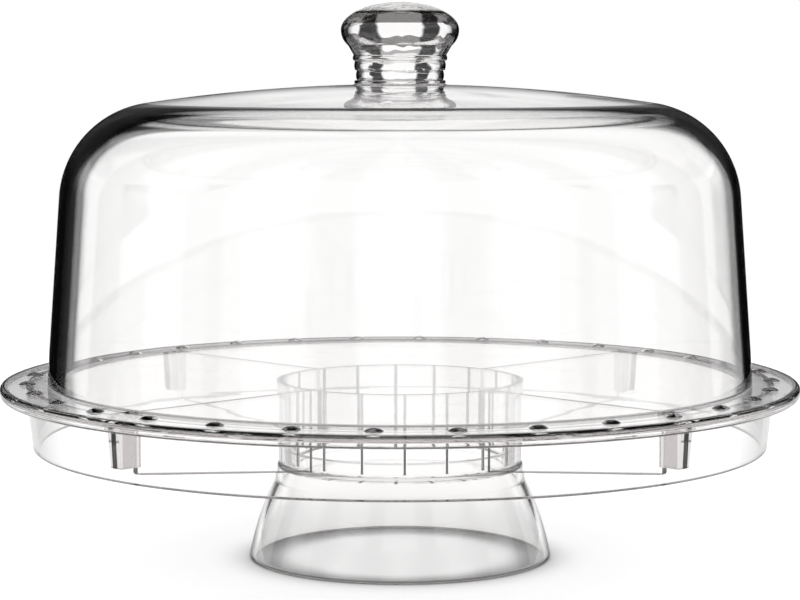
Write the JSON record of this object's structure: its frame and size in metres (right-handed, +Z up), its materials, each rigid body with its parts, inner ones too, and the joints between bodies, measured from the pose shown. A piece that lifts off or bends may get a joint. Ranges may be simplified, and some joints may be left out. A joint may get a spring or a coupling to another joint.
{
  "type": "serving stand with dome",
  "caption": "Round clear serving stand: a flared pedestal, a flat skirted tray that lifts off it, and a drafted dome cover with a turned knob.",
  "frame": {"origin": "centre of the pedestal's foot, on the table that it stands on", "axes": "+Z up along the axis of the stand, through the knob; -Y towards the front, where the row of beads is seen in the picture; +X to the right as seen from the front"},
  "size_m": [0.32, 0.32, 0.2234],
  "materials": {
    "clear_plastic": "clear, colourless, polished moulded acrylic, 2.5 to 3 mm thick, solid in the knob"
  },
  "bodies": {
    "pedestal": {"pedestal": "clear_plastic"},
    "tray": {"tray": "clear_plastic"},
    "dome": {"dome": "clear_plastic", "knob": "clear_plastic"}
  },
  "joints": [
    {"name": "tray_lift", "type": "slide", "parent": "pedestal", "child": "tray", "axis": [0, 0, 1], "range_m": [0, 0.06]},
    {"name": "dome_lift", "type": "slide", "parent": "tray", "child": "dome", "axis": [0, 0, 1], "range_m": [0, 0.16]}
  ]
}
